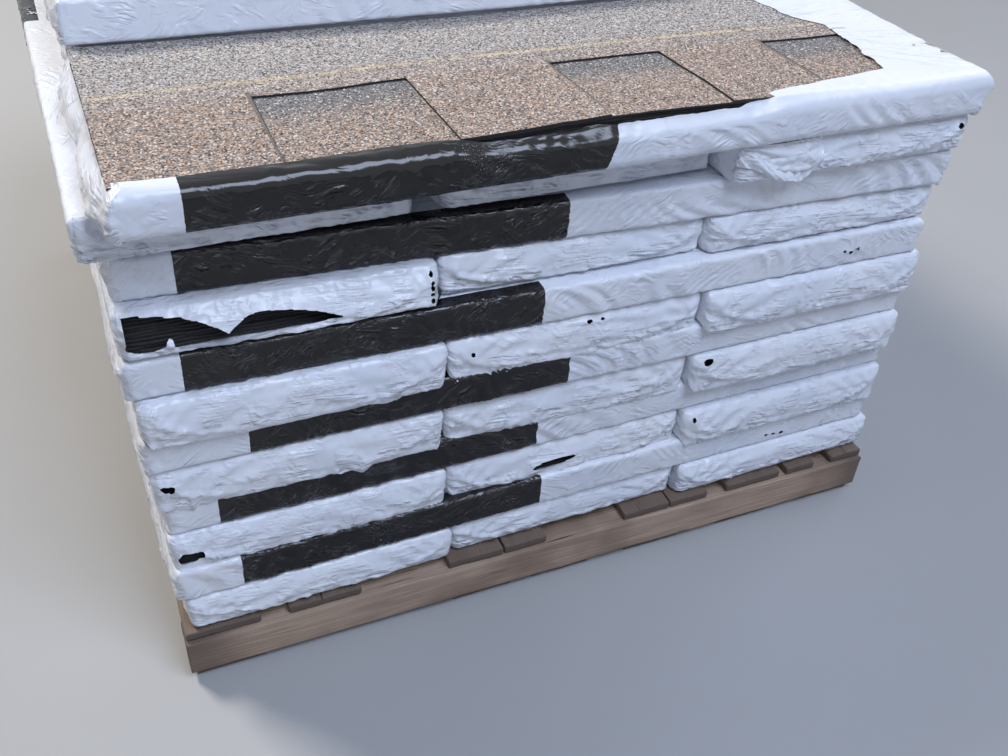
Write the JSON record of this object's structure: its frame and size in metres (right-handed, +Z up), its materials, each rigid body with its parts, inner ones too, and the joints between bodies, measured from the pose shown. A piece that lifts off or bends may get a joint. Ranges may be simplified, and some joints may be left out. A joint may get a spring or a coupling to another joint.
{
  "type": "pallet load of asphalt shingle bundles",
  "caption": "Pallet load of film-wrapped asphalt shingle bundles stacked crosswise in courses, with the top bundle torn open to show its toothed laminated shingles.",
  "frame": {"origin": "on the ground under the middle of the pallet, on the underside of the third bottom board", "axes": "+Z up; -Y is the front, where the torn top bundle lies along X; +X runs to the right along that front"},
  "size_m": [1.0662, 1.0909, 0.714],
  "materials": {
    "wrap_film": "thin crinkled white polyethylene film with a black printed band",
    "granule_face": "brown and grey mineral granules pressed into asphalt",
    "shingle_stack": "cut edges of asphalt-coated felt",
    "pallet_wood": "weathered rough-sawn softwood"
  },
  "bodies": {
    "root": {"back_stringer": "pallet_wood", "bottom_board_1": "pallet_wood", "bottom_board_2": "pallet_wood", "bottom_board_3": "pallet_wood", "bottom_board_4": "pallet_wood", "bottom_board_5": "pallet_wood", "bottom_board_6": "pallet_wood", "course_01_shingles": "shingle_stack", "course_01_wraps": "wrap_film", "course_02_shingles": "shingle_stack", "course_02_wraps": "wrap_film", "course_03_shingles": "shingle_stack", "course_03_wraps": "wrap_film", "course_04_shingles": "shingle_stack", "course_04_wraps": "wrap_film", "course_05_shingles": "shingle_stack", "course_05_wraps": "wrap_film", "course_06_shingles": "shingle_stack", "course_06_wraps": "wrap_film", "course_07_shingles": "shingle_stack", "course_07_wraps": "wrap_film", "course_08_shingles": "shingle_stack", "course_08_wraps": "wrap_film", "course_09_shingles": "shingle_stack", "course_09_wraps": "wrap_film", "course_10_shingles": "shingle_stack", "course_10_wraps": "wrap_film", "course_11_shingles": "shingle_stack", "course_11_wraps": "wrap_film", "course_12_shingles": "shingle_stack", "course_12_wraps": "wrap_film", "course_13_shingles": "shingle_stack", "course_13_wraps": "wrap_film", "deck_board_1": "pallet_wood", "deck_board_2": "pallet_wood", "deck_board_3": "pallet_wood", "deck_board_4": "pallet_wood", "deck_board_5": "pallet_wood", "deck_board_6": "pallet_wood", "deck_board_7": "pallet_wood", "deck_board_8": "pallet_wood", "deck_board_9": "pallet_wood", "front_stringer": "pallet_wood", "middle_stringer": "pallet_wood", "top_shingle_backing": "granule_face", "top_shingle_overlay": "granule_face", "torn_end_shingles": "shingle_stack", "torn_end_wrap": "wrap_film", "torn_top_shingles": "shingle_stack", "torn_top_wrap": "wrap_film"}
  },
  "joints": []
}
